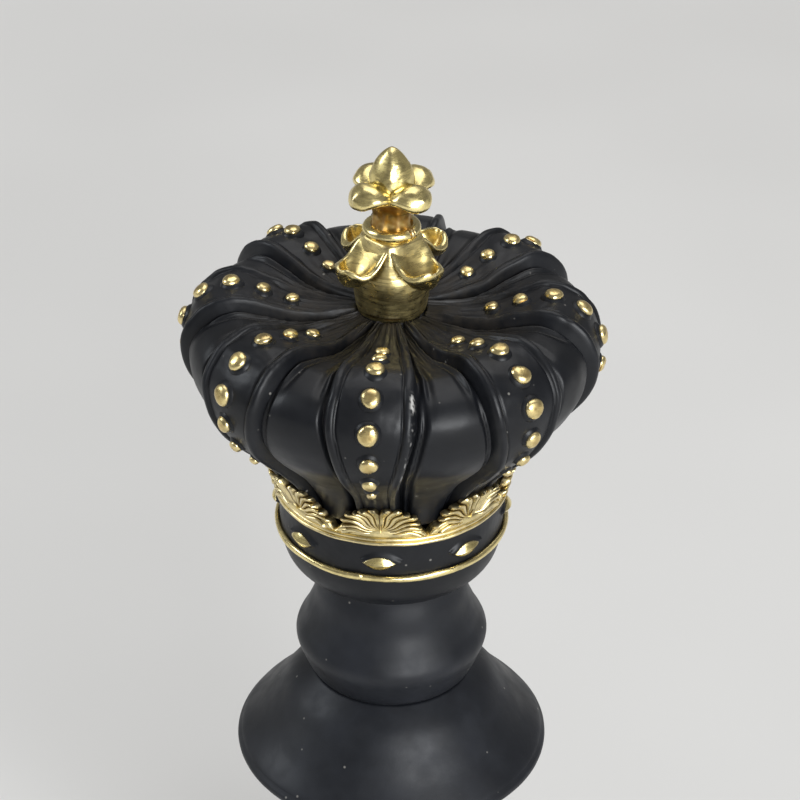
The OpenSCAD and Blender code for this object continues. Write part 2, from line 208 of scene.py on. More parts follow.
def rounded(outline, radius, steps=4):
    """Closed outline with its corners rounded. radius is one number or one for each corner."""
    p = np.array(outline, float)
    out = []
    for i, r in enumerate(np.broadcast_to(radius, len(p))):
        a, b, c = p[i - 1], p[i], p[(i + 1) % len(p)]
        to_a, to_c = np.linalg.norm(a - b), np.linalg.norm(c - b)
        cut = min(r, 0.48 * to_a, 0.48 * to_c)
        if cut < 1e-3:
            out.append(b)
            continue
        start, end = b + (a - b) * cut / to_a, b + (c - b) * cut / to_c
        for t in np.linspace(0, 1, steps + 1):
            out.append((1 - t) ** 2 * start + 2 * t * (1 - t) * b + t ** 2 * end)
    return np.array(out)


def read(items, name, width, kind=float):
    """A property of a mesh's vertices or edges, one row for each."""
    values = np.empty(len(items) * width, kind)
    items.foreach_get(name, values)
    return values.reshape(-1, width)


def mark_hollows(mesh):
    """Marks how concave (cavity) and how convex (edge) each vertex is, from 0 to 1."""
    a, b = read(mesh.edges, "vertices", 2, np.int64).T
    points = read(mesh.vertices, "co", 3) / MM
    normals = read(mesh.vertices, "normal", 3)
    total = len(points)
    way = points[b] - points[a]
    length2 = np.maximum((way ** 2).sum(1), 1e-4)
    count = np.maximum(np.bincount(a, minlength=total) + np.bincount(b, minlength=total), 1)

    def gather(at_a, at_b):
        return (np.bincount(a, at_a, total) + np.bincount(b, at_b, total)) / count

    bend = gather((way * normals[a]).sum(1) / length2, -(way * normals[b]).sum(1) / length2)
    for _ in range(4):
        bend = 0.5 * bend + 0.5 * gather(bend[b], bend[a])
    for key, values in (("cavity", 1.6 * bend), ("edge", -1.2 * bend)):
        marks = mesh.attributes.new(key, "FLOAT", "POINT")
        marks.data.foreach_set("value", np.clip(values, 0, 1).astype(np.float32))


def build_mesh(name, shape, weld):
    """The Blender mesh of a shape, with its marks as attributes and its faces turned outwards."""
    mesh = bpy.data.meshes.new(name)
    mesh.from_pydata((shape.points * MM).tolist(), [], shape.faces)
    made = bmesh.new()
    made.from_mesh(mesh)
    layers = {k: made.verts.layers.float.new(k) for k in shape.marks}
    for k, layer in layers.items():
        for v, value in zip(made.verts, shape.marks[k]):
            v[layer] = float(value)
    if weld:
        bmesh.ops.remove_doubles(made, verts=made.verts, dist=2e-6)
        bmesh.ops.dissolve_degenerate(made, edges=made.edges, dist=1e-7)
    bmesh.ops.recalc_face_normals(made, faces=made.faces)
    made.to_mesh(mesh)
    made.free()
    return mesh


def piece(name, shape, body, material, node, sharp=None, weld=False):
    """Makes the Blender object of a shape, which rides on a body in place of a CAD node."""
    mesh = build_mesh(name, shape, weld)
    mesh.polygons.foreach_set("use_smooth", [True] * len(mesh.polygons))
    if sharp:
        mesh.set_sharp_from_angle(angle=math.radians(sharp))
    mesh.update()
    mark_hollows(mesh)
    mesh.materials.append(material)
    made = bpy.data.objects.new(name, mesh)
    bpy.context.scene.collection.objects.link(made)
    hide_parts(node)
    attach(made, body)


# ---------------------------------------------------------------- materials

class Nodes:
    """Short ways to wire up one material."""

    def __init__(self, name):
        self.material = bpy.data.materials.new(name)
        self.material.use_nodes = True
        self.tree = self.material.node_tree
        self.shader = self.tree.nodes["Principled BSDF"]
        self.where = self.tree.nodes.new("ShaderNodeTexCoord").outputs["Object"]

    def node(self, kind, **settings):
        made = self.tree.nodes.new(kind)
        for key, value in settings.items():
            setattr(made, key, value)
        return made

    def wire(self, value, socket):
        if isinstance(value, bpy.types.NodeSocket):
            self.tree.links.new(value, socket)
        else:
            socket.default_value = value

    def mark(self, name):
        return self.node("ShaderNodeAttribute", attribute_name=name).outputs["Fac"]

    def stretched(self, x, y, z):
        made = self.node("ShaderNodeMapping")
        self.wire(self.where, made.inputs["Vector"])
        made.inputs["Scale"].default_value = (x, y, z)
        return made.outputs["Vector"]

    def noise(self, per_metre, detail=3.0, rough=0.55, where=None):
        made = self.node("ShaderNodeTexNoise")
        self.wire(where or self.where, made.inputs["Vector"])
        made.inputs["Scale"].default_value = per_metre
        made.inputs["Detail"].default_value = detail
        made.inputs["Roughness"].default_value = rough
        return made.outputs["Fac"]

    def cells(self, per_metre):
        """Distance to the middle of the nearest cell, and a random number for each cell."""
        made = self.node("ShaderNodeTexVoronoi")
        self.wire(self.where, made.inputs["Vector"])
        made.inputs["Scale"].default_value = per_metre
        parts = self.node("ShaderNodeSeparateColor")
        self.wire(made.outputs["Color"], parts.inputs[0])
        return made.outputs["Distance"], parts.outputs[0]

    def ramp(self, value, start, end, first=0.0, last=1.0):
        made = self.node("ShaderNodeMapRange", interpolation_type="SMOOTHSTEP")
        self.wire(value, made.inputs["Value"])
        for key, number in (("From Min", start), ("From Max", end), ("To Min", first), ("To Max", last)):
            made.inputs[key].default_value = number
        return made.outputs["Result"]

    def maths(self, kind, a, b):
        made = self.node("ShaderNodeMath", operation=kind)
        self.wire(a, made.inputs[0])
        self.wire(b, made.inputs[1])
        return made.outputs[0]

    def times(self, a, b):
        return self.maths("MULTIPLY", a, b)

    def mix(self, amount, a, b):
        made = self.node("ShaderNodeMix", data_type="RGBA")
        self.wire(amount, made.inputs["Factor"])
        for value, socket in ((a, made.inputs["A"]), (b, made.inputs["B"])):
            self.wire((*value, 1.0) if isinstance(value, tuple) else value, socket)
        return made.outputs["Result"]

    def bump(self, height, depth_mm, strength=1.0, under=None):
        made = self.node("ShaderNodeBump")
        self.wire(height, made.inputs["Height"])
        made.inputs["Distance"].default_value = depth_mm * MM
        made.inputs["Strength"].default_value = strength
        if under:
            self.wire(under, made.inputs["Normal"])
        return made.outputs["Normal"]

    def finish(self, color, roughness, normal, **shader):
        self.wire(color, self.shader.inputs["Base Color"])
        self.wire(roughness, self.shader.inputs["Roughness"])
        self.wire(normal, self.shader.inputs["Normal"])
        for key, value in shader.items():
            self.shader.inputs[key.replace("_", " ")].default_value = value
        return self.material


def shaded(color, amount):
    """A colour made lighter or darker."""
    return tuple(amount * c for c in color)


def black_paint(name, dust, rough, lit_tone=1.0):
    """Satin charcoal paint on resin: cloudy sheen, brown dust in the folds, pale specks and rubbed edges."""
    n = Nodes(name)
    # Both shades scale with one lightness factor; a factor above 1 is painted light.
    color = n.mix(n.ramp(n.noise(55, 4), 0.35, 0.7), shaded((0.0050, 0.0056, 0.0072), lit_tone),
                  shaded((0.0088, 0.0098, 0.0125), lit_tone))
    rubbed = n.times(n.mark("edge"), n.ramp(n.noise(420, 3), 0.42, 0.68))
    color = n.mix(n.times(rubbed, 0.35), color, (0.050, 0.052, 0.057))
    film = n.times(n.mark("dust"), n.ramp(n.noise(240, 5, 0.65), 0.30, 0.72))
    folds = n.times(n.mark("cavity"), n.ramp(n.noise(90, 4), 0.45, 0.72))
    film = n.maths("MAXIMUM", film, n.times(folds, dust))
    color = n.mix(n.times(film, 0.6), color, (0.036, 0.029, 0.022))
    near, luck = n.cells(330)
    specks = n.times(n.ramp(near, 0.14, 0.06), n.ramp(luck, 0.84, 0.88))
    color = n.mix(n.times(specks, 0.7), color, (0.24, 0.23, 0.21))
    color = n.mix(n.mark("chip"), color, (0.50, 0.49, 0.47))
    roughness = n.ramp(n.noise(140, 4), 0.3, 0.75, rough - 0.05, rough + 0.08)
    roughness = n.maths("ADD", roughness, n.times(film, 0.22))
    grain = n.bump(n.noise(1900, 3), 0.012, 0.6)
    normal = n.bump(n.noise(160, 3), 0.10, 0.55, grain)
    return n.finish(color, roughness, normal, Specular_IOR_Level=0.30)


def gold_paint(name, bright, deep=(0.30, 0.135, 0.012), rough=0.24, wash_and_shade=1.0, streaks=0.0):
    """Hand-brushed gold with fine brush marks: paler on raised edges, which is a painted highlight, and amber
    in the recesses, which is partly a brown wash and partly painted shade.
    """
    n = Nodes(name)
    color = n.mix(n.ramp(n.noise(260, 4), 0.40, 0.68), bright, shaded(bright, 0.62))
    # Amber in the recesses and marked hollows: partly a brown wash, partly painted shade in the folds.
    hollow = n.maths("MAXIMUM", n.ramp(n.mark("cavity"), 0.04, 0.55), n.mark("amber"))
    color = n.mix(n.times(hollow, 0.92 * wash_and_shade), color, deep)
    # Convex edges are mixed towards pale gold: a painted highlight.
    color = n.mix(n.times(n.mark("edge"), 0.55), color, (0.93, 0.80, 0.55))
    marks = n.noise(900, 4, 0.6, n.stretched(0.35, 0.35, 1.6))
    roughness = n.ramp(marks, 0.3, 0.75, rough - 0.06, rough + 0.14)
    roughness = n.maths("ADD", roughness, n.times(hollow, 0.12))
    normal = n.bump(n.noise(420, 3), 0.05, 0.5, n.bump(marks, 0.016, 0.5))
    if streaks:
        brush = n.noise(620, 4, 0.65, n.stretched(0.10, 0.10, 2.6))
        color = n.mix(n.ramp(brush, 0.50, 0.72, 0.0, streaks), color, (0.30, 0.215, 0.09))
        normal = n.bump(brush, 0.09, 0.8, normal)
    return n.finish(color, roughness, normal, Metallic=1.0)


def metal(name, color, rough):
    """Plain turned or plated metal with fine scratches."""
    n = Nodes(name)
    scratches = n.noise(1500, 3, 0.5, n.stretched(0.3, 0.3, 3.0))
    shade = n.mix(n.ramp(scratches, 0.35, 0.7), color, shaded(color, 0.72))
    roughness = n.ramp(scratches, 0.3, 0.7, rough, rough + 0.15)
    return n.finish(shade, roughness, n.bump(scratches, 0.01, 0.5), Metallic=1.0)


def felt_cloth(name):
    """Short-haired green felt."""
    n = Nodes(name)
    fibres = n.noise(2600, 5, 0.7)
    color = n.mix(n.ramp(fibres, 0.3, 0.7), (0.012, 0.032, 0.020), (0.035, 0.075, 0.048))
    roughness = n.ramp(fibres, 0.2, 0.8, 0.85, 1.0)
    return n.finish(color, roughness, n.bump(fibres, 0.25, 0.9), Sheen_Weight=0.4)


def soft_rubber(name):
    """Black rubber with a fine grain."""
    n = Nodes(name)
    grain = n.noise(1400, 3)
    color = n.mix(n.ramp(grain, 0.3, 0.7), (0.020, 0.020, 0.021), (0.034, 0.033, 0.033))
    return n.finish(color, n.ramp(grain, 0.2, 0.8, 0.55, 0.75), n.bump(grain, 0.02, 0.6))


BLACK_CROWN = black_paint("black_crown", dust=0.40, rough=0.40)
# The turned castings wear the same black paint drawn 1.9 times lighter: painted light for the brighter light
# on them.
BLACK_TURNED = black_paint("black_turned", dust=0.35, rough=0.45, lit_tone=1.9)
BLACK_MOULDED = black_paint("black_moulded", dust=0.1, rough=0.5)
GOLD_BRIGHT = gold_paint("gold_bright", (0.97, 0.81, 0.35))
GOLD_STUD = gold_paint("gold_stud", (0.90, 0.73, 0.32), rough=0.27, wash_and_shade=0.9)
GOLD_PALE = gold_paint("gold_pale", (0.90, 0.75, 0.36), deep=(0.11, 0.06, 0.015), rough=0.30)
GOLD_CUP = gold_paint("gold_brushed", (0.97, 0.80, 0.36), rough=0.31, streaks=0.75)
STEEL = metal("zinc_steel", (0.55, 0.56, 0.58), 0.30)
BRASS = metal("turned_brass", (0.68, 0.48, 0.19), 0.22)
FELT = felt_cloth("green_felt")
RUBBER = soft_rubber("black_rubber")


# ---------------------------------------------------------------- crown: arches and studs

ARCH_POINTS = [
    (8.8, SEAT + 0.2), (17, SEAT - 0.3), (24.5, SEAT + 0.6), (31.5, SEAT + 3), (39, SEAT + 4.6),
    (CROWN_R - 4.3, WAIST + 10.3), (CROWN_R, WAIST + 3.7), (CROWN_R - 0.1, WAIST - 4.1),
    (CROWN_R - 3.1, WAIST - 11.1), (CROWN_R - 8.3, WAIST - 17.1), (CROWN_R - 14.8, WAIST - 23.8),
    (BAND_R + 1.9, BAND_TOP + 7.4), (BAND_R, BAND_TOP + 1.9)]
ARCH_WIDTHS = [2.9, 5.0, 6.6, 7.4, 8.8, 9.6, 9.9, 8.6, 7.2, 6.0, 5.2, 4.8, 4.6]
ARCH_ROWS = 210
WIDE_ARCH = 6.5     # half-width from which an arch has its full relief
FRONT = 1
STUD_FIRST = 2
STUD_RADII = [1.6, 1.7, 2.05, 2.2, 2.35, 2.0, 1.6, 1.1]
SEAT_RISE = 1.0


class Path:
    """The arch curve, resampled evenly, with its run, radius, height, half-width and outward normal."""

    def __init__(self, count, steps=24):
        curve = smooth_curve(ARCH_POINTS, steps)
        width = smooth_curve([(w, 0) for w in ARCH_WIDTHS], steps)[:, 0]
        run = np.concatenate([[0], np.cumsum(np.linalg.norm(np.diff(curve, axis=0), axis=1))])
        self.length = run[-1]
        self.knots = run[::steps]
        s = np.linspace(0, self.length, count)
        r, z, w = [np.interp(s, run, k) for k in (curve[:, 0], curve[:, 1], width)]
        dr, dz = np.gradient(r, s), np.gradient(z, s)
        size = np.hypot(dr, dz)
        columns = [k[:, None] for k in (s, r, z, w, -dz / size, dr / size)]
        self.s, self.r, self.z, self.w, self.nr, self.nz = columns

    def at(self, s):
        """Radius, height and outward normal at a run along the curve."""
        return [np.interp(s, self.s[:, 0], k[:, 0]) for k in (self.r, self.z, self.nr, self.nz)]

    def raised(self, azimuth, h):
        """Points at a height over the curve."""
        return around(self.r + h * self.nr, azimuth, self.z + h * self.nz)


def pleats(azimuth, s):
    """Fine gathered wrinkles that run in under the finial."""
    wander = 2.2 * np.sin(7 * azimuth + 0.12 * s)
    fold = np.sin(88 * azimuth + wander) + 0.7 * np.sin(57 * azimuth + 1.0 + 0.1 * s)
    return 0.30 * (1 - smoothstep(5, 26, s)) * fold


def arch_height(x, w):
    """Height of an arch's face over its curve, at x across an arch of half-width w."""
    q = np.minimum(1, w / WIDE_ARCH)
    edge = w - np.abs(x)
    crown = 0.25 * (1 - np.clip(np.abs(x) / (w - 2.2 * q), 0, 1) ** 2)
    line = -0.45 * q * bell(edge, 2.3 * q, 0.22 * q)
    bead = (edge < 2.2 * q) * 0.85 * q * np.sqrt(np.clip(1 - ((edge - 1.0 * q) / (1.15 * q)) ** 2, 0, 1))
    return crown + line + bead - 0.30 * q * bell(edge, 0, 0.22 * q)


def arch_section(path, w):
    """The closed section of an arch at each step along it: distance across, and height over the curve."""
    inner = 0.56
    face = [np.linspace(-1, -inner, 15), np.linspace(-inner, inner, 13)[1:-1], np.linspace(inner, 1, 15)]
    x = np.concatenate(face) * w
    depth = np.array([0.6, 1.6, 2.6, ARCH_T + 0.6])
    side = w + 0.24 * np.minimum(1, path.w / WIDE_ARCH) * depth
    drop = -depth + 0 * w
    return np.hstack([x, side, -side[:, ::-1]]), np.hstack([arch_height(x, w), drop, drop[:, ::-1]])


def front_sway(path, s):
    """How far sideways the front arch, laid by hand, strays at a run along it."""
    return -0.85 * smoothstep(path.knots[3], path.knots[6], s)


def front_chip(path, x, points):
    """The worn chip in the paint along the front arch's right edge, from 0 to 1."""
    start = path.s - path.knots[5]
    along = smoothstep(-2.0, 0.5, start) * (1 - smoothstep(2.2, 3.6, start))
    along = np.maximum(along, 0.40 * smoothstep(5, 7, start) * (1 - smoothstep(28, 34, start)))
    broken = waves(points, 1.3, 5) > np.where(start < 6, -0.1, 0.4)
    return np.clip(1.4 * along * bell(x - path.w, -0.85, 0.34) * broken, 0, 1)


def make_arch(k):
    """One arch: a piped strip that follows the curve, with a seat under each stud."""
    path = Path(ARCH_ROWS)
    rng = np.random.default_rng(100 + k)
    sway = 0.22 * np.sin(path.s / 17 + rng.uniform(0, 6)) * smoothstep(0, 12, path.s)
    w = path.w * (1 + 0.015 * np.sin(path.s / 9 + rng.uniform(0, 6)))
    x, h = arch_section(path, w)
    x = x + (front_sway(path, path.s) if k == FRONT else sway)
    azimuth = (k - 1) * STEP + np.arcsin(np.clip(x / np.maximum(path.r + h * path.nr, 3.5), -0.9, 0.9))
    rings = path.raised(azimuth, h + pleats(azimuth, path.s))
    chip = front_chip(path, x, rings) if k == FRONT else np.zeros(x.shape)
    dent = 0.042 * waves(rings, 9, 40 + k) / np.hypot(rings[..., 0], rings[..., 1]).mean()
    dust = 1 - smoothstep(10, 34, path.s) + 0 * x
    shape = Shape().rings(rings * (1 + dent[..., None]), dust=dust, chip=chip)
    for i, r in enumerate(STUD_RADII):
        add_on_arch(shape, path, k, i, stud_seat(r))
    piece(f"arch_{k}_band", shape, "figure", BLACK_CROWN, f"arch_{k}")


def add_on_arch(shape, path, k, i, small, stray=(0, 0)):
    """Stands something on arch k at stud i, square to its face."""
    s = path.knots[STUD_FIRST + i]
    r, z, nr, nz = path.at(s)
    azimuth = (k - 1) * STEP
    out = Vector(around(nr, azimuth, nz)).normalized()
    side = Vector((math.cos(azimuth), math.sin(azimuth), 0))
    turn = Matrix((side, out.cross(side), out)).transposed().to_4x4()
    across = stray[0] + (front_sway(path, s) if k == FRONT else 0)
    place = Matrix.Translation(around(r, azimuth, z)) @ turn @ Matrix.Translation((across, stray[1], 0))
    small.moved(place)
    shape.add(small.points, small.faces, **small.marks)


def stud_seat(r):
    """The low black seat under a stud of radius r."""
    top = SEAT_RISE - 0.1
    outline = [(0, -1.2), (r + 1.3, -1.2), (r + 0.85, 0.1), (r + 0.4, SEAT_RISE - 0.4), (r, top), (0, top)]
    return turned_solid(rounded(outline, [0, 0, 0.8, 0.5, 0.2, 0]), 36)


def stud_dome(r, rng):
    """One gold dome, a little out of round, as if painted by hand."""
    height = 1.38 * (0.45 + 0.55 * r / max(STUD_RADII))
    r = 1.08 * r
    foot = SEAT_RISE - 0.1
    profile = [(r * 0.93, SEAT_RISE - 0.45)]
    angles = np.linspace(0, math.pi / 2, 11)[:-1]
    profile += [(r * math.cos(a) ** 0.75, foot + height * math.sin(a)) for a in angles]
    dome = turned_solid([*profile, (0, foot + height)], 32)
    p = dome.points
    angle = np.arctan2(p[:, 1], p[:, 0])
    lobe = 1 + 0.045 * np.cos(2 * angle + rng.uniform(0, 6)) + 0.03 * np.cos(3 * angle + rng.uniform(0, 6))
    p[:, :2] *= lobe[:, None]
    p[:, 2] += np.where(p[:, 2] > SEAT_RISE, p[:, :2] @ rng.normal(scale=0.05, size=2), 0)
    p[:, 2] += np.where(p[:, 2] > SEAT_RISE + 0.2, 0.05 * waves(p, 1.7, int(rng.integers(1000))), 0)
    top = smoothstep(0.55, 1.0, np.clip((p[:, 2] - SEAT_RISE) / height, 0, 1))
    dome.marks["amber"] = np.clip(0.42 * top + 0.25 * waves(p, 2.2, int(rng.integers(1000))), 0, 0.7)
    return dome


def make_studs(k):
    """The eight gold domes of one arch."""
    path = Path(ARCH_ROWS)
    rng = np.random.default_rng(500 + k)
    shape = Shape()
    for i, r in enumerate(STUD_RADII):
        dome = stud_dome(r, rng)
        add_on_arch(shape, path, k, i, dome, rng.normal(scale=0.06, size=2))
    piece(f"arch_{k}_studs", shape, "figure", GOLD_STUD, f"arch_studs_{k}")


# ---------------------------------------------------------------- crown: cap

CROWN_COLUMNS = ARCHES * 96
WIDE_LOBE = 8       # half-width from which a lobe has its full relief
CAP_WALL = 9.2


def off_arch(azimuth):
    """Angle from the middle of the nearest arch."""
    return (azimuth + STEP / 2) % STEP - STEP / 2


def lobe_height(d, span, path):
    """Height of the puffed cap over the arch curve, d beyond an arch's edge on a lobe of half-width span."""
    shrink = np.minimum(1, span / WIDE_LOBE)
    e = d / np.maximum(shrink, 0.15)
    t = np.clip(d / np.maximum(span, 0.3), 0, 1)
    lowered = smoothstep(path.knots[4], path.knots[6], path.s)
    swell = smoothstep(1.7, 3.4, e)
    cushion = -3.0 + 1.35 * bell(e, 1.45, 0.55) + swell * (1.75 + 0.75 * (1 - (1 - t) ** 2))
    fold = -3.5 + 1.65 * bell(e, 2.4, 0.68) + 0.9 * smoothstep(3.2, 5.5, e)
    end = smoothstep(path.length - 9, path.length, path.s)
    return (lowered * cushion + (1 - lowered) * fold) * shrink ** 0.5 * (1 - 0.25 * end)


def cap_skin(path, azimuth):
    """The outer face of the cap, row by row from the top down."""
    span = path.r * math.sin(STEP / 2) - path.w
    d = path.r * np.sin(np.abs(off_arch(azimuth))) - path.w
    under_arch = -4.0 * np.minimum(1, span / WIDE_LOBE) ** 0.5
    h = np.where(d > 0, lobe_height(np.maximum(d, 0), span, path), under_arch)
    h = h + pleats(azimuth, path.s) - 0.35
    h = h + 0.16 * waves(path.raised(azimuth, 0), 21, 3) * smoothstep(10, 30, path.s)
    return path.raised(azimuth, h)


def cap_inside(path):
    """Outline inside the cap: from its foot up along the wall, then down the rod's tube."""
    r, z, nr, nz = path.at(np.linspace(path.length, path.knots[4], 14))
    wall = np.stack([r - CAP_WALL * nr, z - CAP_WALL * nz], -1).tolist()
    roof = wall[-1][1]
    tube = [(ROD_R + 5, roof), (ROD_R + 4, roof - 1), (ROD_R + 4, BAND_TOP)]
    return [(BAND_R - 3.3, BAND_TOP), (wall[0][0], BAND_TOP), *wall, *tube]


def make_cap():
    """The puffed black cap between and under the arches, hollow below, with the rod's tube."""
    path = Path(190)
    azimuth = circle(CROWN_COLUMNS)
    boss = low("finial_gasket")[2]
    above = [(ROD_HOLE, BAND_TOP), (ROD_HOLE, boss), (8.0, boss), (8.4, boss - 0.5), (8.5, SEAT - 2.6)]
    rows = [around(r, azimuth, z) for r, z in above]
    rows += list(cap_skin(path, azimuth))
    rows += [around(r, azimuth, z) for r, z in cap_inside(path)]
    dust = np.zeros((len(rows), CROWN_COLUMNS))
    dust[len(above):len(above) + len(path.s)] = 1 - smoothstep(12, 36, path.s)
    shape = Shape().add(rows, grid_faces(*dust.shape, wrap_rows=True), dust=dust)
    piece("crown_cap_lobes", shape, "figure", BLACK_CROWN, "crown_cap")


# ---------------------------------------------------------------- crown: band, rims, gems and leaves

GEM_Z = BAND_LOW + 5.6
GEM_HEIGHT = high("band_gems")[2] - low("band_gems")[2]
GEM_LENGTH = GEM_HEIGHT + 4.1
CREST_HALF = 9.9
CREST_TALL = 11.2
LEAFLETS = 7


def lens_height(x, z, length, height):
    """1 along the middle of a pointed oval, falling to 0 at its edge."""
    half = height / 2 * np.clip(1 - (2 * x / length) ** 2, 0, 1)
    return np.clip(1 - np.abs(z) / np.maximum(half, 1e-6), 0, 1) * (half > 1e-6)


def make_band():
    """The black band, with a lens-shaped boss behind each gem."""
    azimuth = circle(CROWN_COLUMNS)
    z = np.linspace(low("crown_band")[2], high("crown_band")[2], 34)[:, None]
    boss = lens_height(BAND_R * off_arch(azimuth), z - GEM_Z - 0.35, GEM_LENGTH + 3.4, GEM_HEIGHT + 3.2)
    r = BAND_R + 0.75 * smoothstep(0, 0.9, boss)
    r = r + 0.08 * waves(around(BAND_R, azimuth, z), 7, 77)
    inner = [around(BAND_R - 1.5, azimuth, end[0]) for end in (z[-1], z[0])]
    rows = np.concatenate([around(r, azimuth, z), inner])
    shape = Shape().add(rows, grid_faces(len(rows), CROWN_COLUMNS, wrap_rows=True))
    piece("crown_band_face", shape, "figure", BLACK_CROWN, "crown_band")


def make_gems():
    """Eight marquise gems with a ridge along them, cast a little unevenly."""
    rng = np.random.default_rng(21)
    shape = Shape()
    u = np.sin(np.linspace(-1, 1, 29) * math.pi / 2)[:, None]
    v = np.linspace(-1, 1, 15)
    half = GEM_HEIGHT / 2 * 1.15 * np.clip(1 - u ** 2, 0, 1)
    rise = 0.75 + 1.05 * (1 - np.abs(v)) ** 0.85 * (1 - np.abs(u) ** 2.6)
    for k in range(ARCHES):
        skew = rng.normal(scale=0.05)
        x = u * GEM_LENGTH * (1.08 + rng.normal(scale=0.03)) / 2 + 0 * v
        y = v * half + skew * x
        x, y = np.hstack([x, 0.97 * x[:, ::-1]]), np.hstack([y, 0.97 * y[:, ::-1]])
        out = BAND_R + 0.15 + np.hstack([rise, np.full(rise.shape, 0.1)])
        azimuth = k * STEP + rng.normal(scale=0.008)
        shape.rings(around(out, azimuth + x / (BAND_R + 1), GEM_Z + y))
    piece("band_gem_set", shape, "figure", GOLD_BRIGHT, "band_gems", sharp=38, weld=True)


def make_lower_rim():
    """A gold cord laid round the band, a little wavy, with its ends lapped at the front left."""
    lap, reach = math.radians(-11.5), math.radians(3.2)
    azimuth = np.linspace(lap - reach, lap + 2 * math.pi + reach, 420)[:, None]
    turn = azimuth[-1] - azimuth[0]
    along = (azimuth - azimuth[0]) / turn
    ends = np.minimum(along, 1 - along) * turn * RIM_R
    thick = 0.90 * np.clip(ends / 1.2, 0.12, 1) ** 0.5
    slip = 0.34 * smoothstep(8, 0, ends) * np.sign(along - 0.5)
    z = BAND_LOW + 0.78 + slip + 0.10 * np.sin(5 * azimuth + 1.0) + 0.05 * np.sin(17 * azimuth)
    z = np.maximum(z, BAND_LOW + thick)
    r = RIM_R - 0.78 + 0.30 * smoothstep(7, 0, ends) * (along > 0.5) + 0.06 * np.sin(11 * azimuth)
    a = circle(20)
    thick = thick * (1 + 0.07 * np.sin(2 * a + 9 * azimuth))
    rings = around(np.minimum(r + 0.85 * thick * np.cos(a), RIM_R + 0.25), azimuth, z + thick * np.sin(a))
    piece("lower_rim_cord", Shape().rings(rings), "figure", GOLD_BRIGHT, "lower_rim")


def make_upper_rim():
    """The gold edge above the band: a thin raised line, a groove, a second line and a sloping ledge."""
    base = low("upper_rim")[2]
    inner = BAND_R - 1.4
    line = arc_points(RIM_R - 0.55, base + 0.55, 0.52, -90, 75.6, 9)
    second = arc_points(RIM_R - 0.95, base + 1.5, 0.55, -72, 90, 8)
    shape = turned([(inner, base), *line, *second, (BAND_R + 0.15, BAND_TOP), (inner, BAND_TOP)], 360)
    p = shape.points
    azimuth = np.arctan2(p[:, 0], -p[:, 1])
    free = (p[:, 2] < BAND_TOP - 0.05) & (p[:, 2] > base + 0.05)
    p[:, 2] += free * (0.09 * np.sin(6 * azimuth + 2) + 0.05 * np.sin(19 * azimuth))
    piece("upper_rim_edge", shape, "figure", GOLD_PALE, "upper_rim")


def leaflets(fan, rng):
    """For each place on half a fan: its leaflet's height there, reach and lift."""
    steps = np.cumsum(rng.uniform(0.75, 1.3, LEAFLETS) * np.linspace(0.9, 1.1, LEAFLETS))
    bounds = np.concatenate([[0], steps / steps[-1]])
    index = np.clip(np.searchsorted(bounds, fan, side="right") - 1, 0, LEAFLETS - 1)
    across = (fan - bounds[index]) / (bounds[index + 1] - bounds[index])
    lobe = np.clip(np.sin(math.pi * across), 0, 1)
    return lobe, rng.uniform(-0.09, 0.05, LEAFLETS)[index], rng.uniform(-0.15, 0.55, LEAFLETS)[index]


def make_crest(k):
    """A fan of leaflets, two halves on a central rib, leaning on the foot of arch k."""
    rng = np.random.default_rng(900 + k)
    fan = np.linspace(-1, 1, 241)
    rho = np.linspace(0, 1, 34)[:, None]
    halves = [leaflets(np.abs(fan[side]), rng) for side in (fan < 0, fan >= 0)]
    lobe, stretch, lift = np.hstack(halves)
    edge = 0.89 + (0.12 + stretch) * lobe ** 0.55 - 0.13 * bell(fan, 0, 0.03)
    angle = np.sign(fan) * np.abs(fan) ** 0.92 * math.radians(98)
    curl = 0.075 * np.sin(rho * 6.5 + 0.4) + 0.05 * rho ** 2
    angle = angle + curl * np.sign(fan) * np.minimum(1, np.abs(fan) * 5)
    reach = rho * edge
    x = np.sin(angle) * reach * CREST_HALF
    foot = BAND_TOP + 0.25
    z = foot + 1.3 * (1 - reach * 0.4) + np.cos(angle) * reach * (CREST_TALL - 1.0)
    z = np.maximum(z, foot)
    ribs = (0.05 + 0.85 * lobe ** 0.7) * smoothstep(0.10, 0.42, rho)
    middle = 0.7 * bell(fan, 0, 0.03) * (1 - 0.3 * rho)
    relief = 0.35 + ribs + middle + lift * smoothstep(0.6, 1.0, rho) * lobe
    relief = relief * (1 - 0.6 * smoothstep(0.93, 1.0, rho))
    # The grooves between leaflets go darker amber: partly the brown wash, partly painted shade.
    groove = (1 - smoothstep(0.15, 0.62, lobe)) * smoothstep(0.12, 0.35, rho)
    r = arch_radius_at(z)
    azimuth = (k - 1) * STEP
    shape = Shape()
    add_slab(shape, around(r + 0.95 + relief, azimuth + x / r, z + relief * 0.15),
             around(r + 0.15, azimuth + x / r, z), groove)
    add_ledge(shape, azimuth)
    piece(f"leaf_crest_{k}_fan", shape, "figure", GOLD_PALE, f"leaf_crest_{k}", sharp=60)


def arch_radius_at(z):
    """Radius of the arch curve at a height in its lower, falling part."""
    path = Path(ARCH_ROWS)
    return np.interp(z, path.z[:-121:-1, 0], path.r[:-121:-1, 0])


def add_slab(shape, front, behind, amber):
    """Closes two matching grids of points, front and back, into one thin solid with a dark back."""
    n, m, _ = front.shape
    quads = grid_faces(n, m, wrap_columns=False)
    faces = quads + [[q + n * m for q in f[::-1]] for f in quads]
    rim = [(0, j) for j in range(m)] + [(i, m - 1) for i in range(1, n)]
    rim += [(n - 1, j) for j in range(m - 2, -1, -1)] + [(i, 0) for i in range(n - 2, 0, -1)]
    rim = [i * m + j for i, j in rim]
    faces += [[b, a, a + n * m, b + n * m] for a, b in zip(rim, rim[1:] + rim[:1])]
    shape.add(np.stack([front, behind]), faces, amber=np.stack([0.9 * amber, np.full((n, m), 0.99)]))


